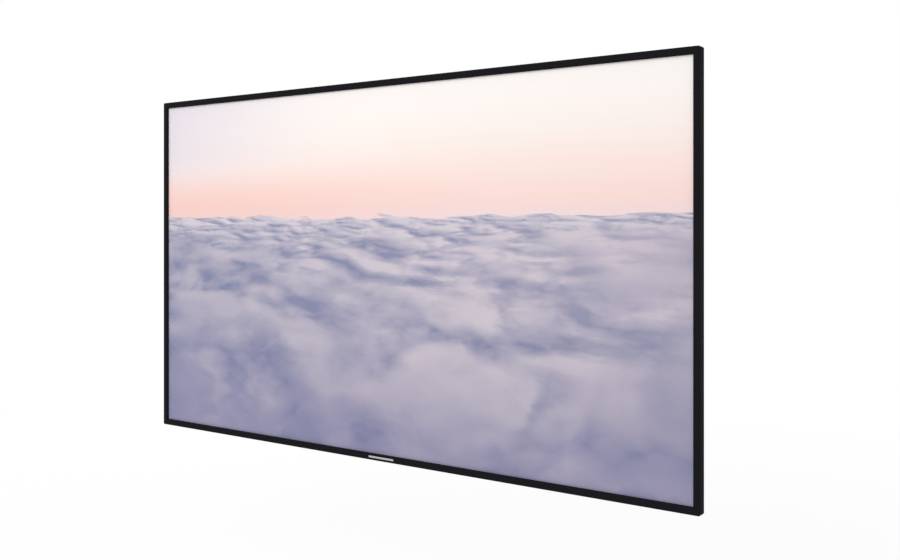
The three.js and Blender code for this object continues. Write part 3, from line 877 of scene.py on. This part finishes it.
# A bracket in its side's frame: the drilled plate on the wall, then a fold, the web, a fold and the lip.
def bracket_mesh(lip_end, plate_end, lip_front, wall, length):
    bracket = bmesh.new()
    plate_back = wall - BRACKET_THICKNESS / 2
    lip_back = lip_front + BRACKET_THICKNESS / 2
    plate_from = BRACKET_WEB_IN + BRACKET_BEND
    reach = (plate_end - plate_from) / 2
    turned = Matrix.Rotation(math.pi / 2, 4, "X")
    middle = Matrix.Translation((plate_from + reach, plate_back, 0))
    outline = middle @ turned @ Matrix.Diagonal((reach, length / 2, 1, 1))
    bmesh.ops.create_grid(bracket, x_segments=1, y_segments=1, size=1, matrix=outline)
    ends = [vert for vert in bracket.verts if vert.co.x > plate_from + reach]
    bmesh.ops.bevel(
        bracket, geom=ends, offset=BRACKET_CORNER, segments=5, profile=0.5, affect="VERTICES", material=-1
    )
    bmesh.ops.delete(bracket, geom=bracket.faces[:], context="FACES_ONLY")
    for end in (-1, 1):
        hole = Matrix.Translation((BRACKET_HOLE_IN, plate_back, end * BRACKET_HOLE_SPREAD / 2)) @ turned
        bmesh.ops.create_circle(bracket, segments=24, radius=BRACKET_HOLE_RADIUS, matrix=hole)
    bmesh.ops.triangle_fill(bracket, use_beauty=True, edges=bracket.edges[:])
    fold = [
        edge
        for edge in bracket.edges
        if all(abs(vert.co.x - plate_from) < SAME_POINT for vert in edge.verts)
    ]
    fold = fold_edges(bracket, fold, (plate_from, plate_back - BRACKET_BEND, 0), math.pi / 2)
    fold = pull_edges(bracket, fold, (0, lip_back - plate_back + 2 * BRACKET_BEND, 0))
    lip_from = BRACKET_WEB_IN - BRACKET_BEND
    fold = fold_edges(bracket, fold, (lip_from, lip_back + BRACKET_BEND, 0), -math.pi / 2)
    pull_edges(bracket, fold, (lip_end - lip_from, 0, 0))
    bmesh.ops.remove_doubles(bracket, verts=bracket.verts[:], dist=SAME_POINT)
    bmesh.ops.recalc_face_normals(bracket, faces=bracket.faces[:])
    return bracket


coat = powder_coat()
for name in BRACKETS:
    place = SIDES["top" if name.startswith("top") else "bottom"][0]
    ends = [place.inverted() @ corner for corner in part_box(name)]
    low = [min(pair) for pair in zip(*ends)]
    high = [max(pair) for pair in zip(*ends)]
    folded = bracket_mesh(low[0], high[0], low[1], high[1], high[2] - low[2])
    standing = place @ Matrix.Translation((0, 0, (low[2] + high[2]) / 2))
    bmesh.ops.transform(folded, matrix=standing, verts=folded.verts[:])
    bracket = add_piece(f"folded_{name}", folded, [coat])
    thick = bracket.modifiers.new("plate_thickness", "SOLIDIFY")
    thick.thickness = BRACKET_THICKNESS
    thick.offset = 0
    eased = bracket.modifiers.new("eased_edges", "BEVEL")
    eased.width = BRACKET_EDGE
    eased.segments = 2
    eased.limit_method = "ANGLE"
    eased.angle_limit = BRACKET_SHARP_ANGLE
    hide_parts(name)

# Badge: a thin blank strip of brushed satin aluminium with round ends.
# It is stuck on the face of the bottom rail, at the middle.
BADGE_PALE = (0.62, 0.62, 0.63, 1)
BADGE_DULL = (0.46, 0.46, 0.48, 1)
BADGE_BRUSHING = (30, 3000, 3000)


def brushed_badge():
    material, tree, shader, place = new_finish("brushed_badge", Metallic=1.0)
    lines = use_group(tree, drawn_lines, Place=place, Stretch=BADGE_BRUSHING)
    feed(tree, shader["Base Color"], tint(tree, lines["Lines"], BADGE_PALE, BADGE_DULL))
    feed(tree, shader["Roughness"], summed(tree, 0.28, (lines["Lines"], 0.2)))
    feed(tree, shader["Normal"], bump(tree, lines["Lines"], depth=0.00003, strength=0.6))
    return material


dress(["blank_badge"], brushed_badge())

# Studio: a pale floor below the hung frame, which fades to white with distance so that no horizon shows,
# a white surround, and two large soft lamps.
FLOOR_DROP = 0.45
FLOOR_REACH = 12.0
FLOOR_COLOUR = (0.95, 0.95, 0.95, 1)
FLOOR_WHITE = 0.9
FLOOR_FADE = (1.2, 4.5)
SURROUND_LIGHT = 0.6
LAMPS = {
    "key": {"place": (-0.9, -5.6, 3.2), "size": 4.0, "power": 162},
    "fill": {"place": (-3.6, 3.0, 2.0), "size": 3.0, "power": 90},
}


# The rays that see the studio as plain white: those from the camera, and those in gloss and glass.
def seen_directly(tree):
    rays = tree.nodes.new("ShaderNodeLightPath").outputs
    seen = calc(tree, "MAXIMUM", rays["Is Camera Ray"], rays["Is Glossy Ray"])
    return calc(tree, "MAXIMUM", seen, rays["Is Transmission Ray"])


def pale_floor():
    material, tree, shader, place = new_finish(
        "pale_floor", Base_Color=FLOOR_COLOUR, Roughness=0.9, Specular_IOR_Level=0.1
    )
    distance = tree.nodes.new("ShaderNodeVectorMath")
    distance.operation = "LENGTH"
    feed(tree, distance.inputs[0], place)
    white = spread(tree, distance.outputs["Value"], *FLOOR_FADE, FLOOR_WHITE, 1.0)
    glow = tree.nodes.new("ShaderNodeEmission")
    mix = tree.nodes.new("ShaderNodeMixShader")
    feed(tree, mix.inputs["Fac"], product(tree, seen_directly(tree), white))
    tree.links.new(tree.nodes["Principled BSDF"].outputs["BSDF"], mix.inputs[1])
    tree.links.new(glow.outputs["Emission"], mix.inputs[2])
    tree.links.new(mix.outputs["Shader"], tree.nodes["Material Output"].inputs["Surface"])
    return material


floor_mesh = bmesh.new()
level = Matrix.Translation((0, 0, cad_box[0].z - FLOOR_DROP))
bmesh.ops.create_grid(floor_mesh, x_segments=1, y_segments=1, size=FLOOR_REACH, matrix=level)
floor_data = bpy.data.meshes.new("floor")
floor_mesh.to_mesh(floor_data)
floor_mesh.free()
floor_data.materials.append(pale_floor())
floor = bpy.data.objects.new("floor", floor_data)
bpy.context.scene.collection.objects.link(floor)

surround = bpy.data.worlds.new("surround")
bpy.context.scene.world = surround
surround.use_nodes = True
surround_tree = surround.node_tree
background = surround_tree.nodes["Background"]
background.inputs["Color"].default_value = (1, 1, 1, 1)
to_white = (seen_directly(surround_tree), 1 - SURROUND_LIGHT)
feed(surround_tree, background.inputs["Strength"], summed(surround_tree, SURROUND_LIGHT, to_white))

for name, values in LAMPS.items():
    lamp = bpy.data.lights.new(name, "AREA")
    lamp.shape = "SQUARE"
    lamp.size = values["size"]
    lamp.energy = values["power"]
    holder = bpy.data.objects.new(name, lamp)
    holder.location = values["place"]
    holder.rotation_euler = (-holder.location).to_track_quat("-Z", "Y").to_euler()
    holder.visible_glossy = False
    bpy.context.scene.collection.objects.link(holder)

# Camera: level, to the right of the screen and looking to the left, with the lens moved down so that
# the uprights stay upright. The shift is given in pixels of the photograph.
CAMERA_TURN = math.radians(35.6)
CAMERA_BACK = 3.4539
CAMERA_RIGHT = 0.2252
CAMERA_HEIGHT = 0.1489
CAMERA_LENS = 40.79
SENSOR_WIDTH = 36
PHOTO_WIDTH = 900
SHIFT_DOWN = 53.495
ahead = Vector((-math.sin(CAMERA_TURN), math.cos(CAMERA_TURN), 0))
right = Vector((math.cos(CAMERA_TURN), math.sin(CAMERA_TURN), 0))
camera_data = bpy.data.cameras.new("camera")
camera_data.lens = CAMERA_LENS
camera_data.sensor_width = SENSOR_WIDTH
camera_data.shift_y = -SHIFT_DOWN / PHOTO_WIDTH
camera = bpy.data.objects.new("camera", camera_data)
camera.location = Vector((0, 0, CAMERA_HEIGHT)) - ahead * CAMERA_BACK + right * CAMERA_RIGHT
camera.rotation_euler = (math.pi / 2, 0, CAMERA_TURN)
bpy.context.scene.collection.objects.link(camera)
bpy.context.scene.camera = camera
bpy.context.scene.view_settings.view_transform = "Standard"
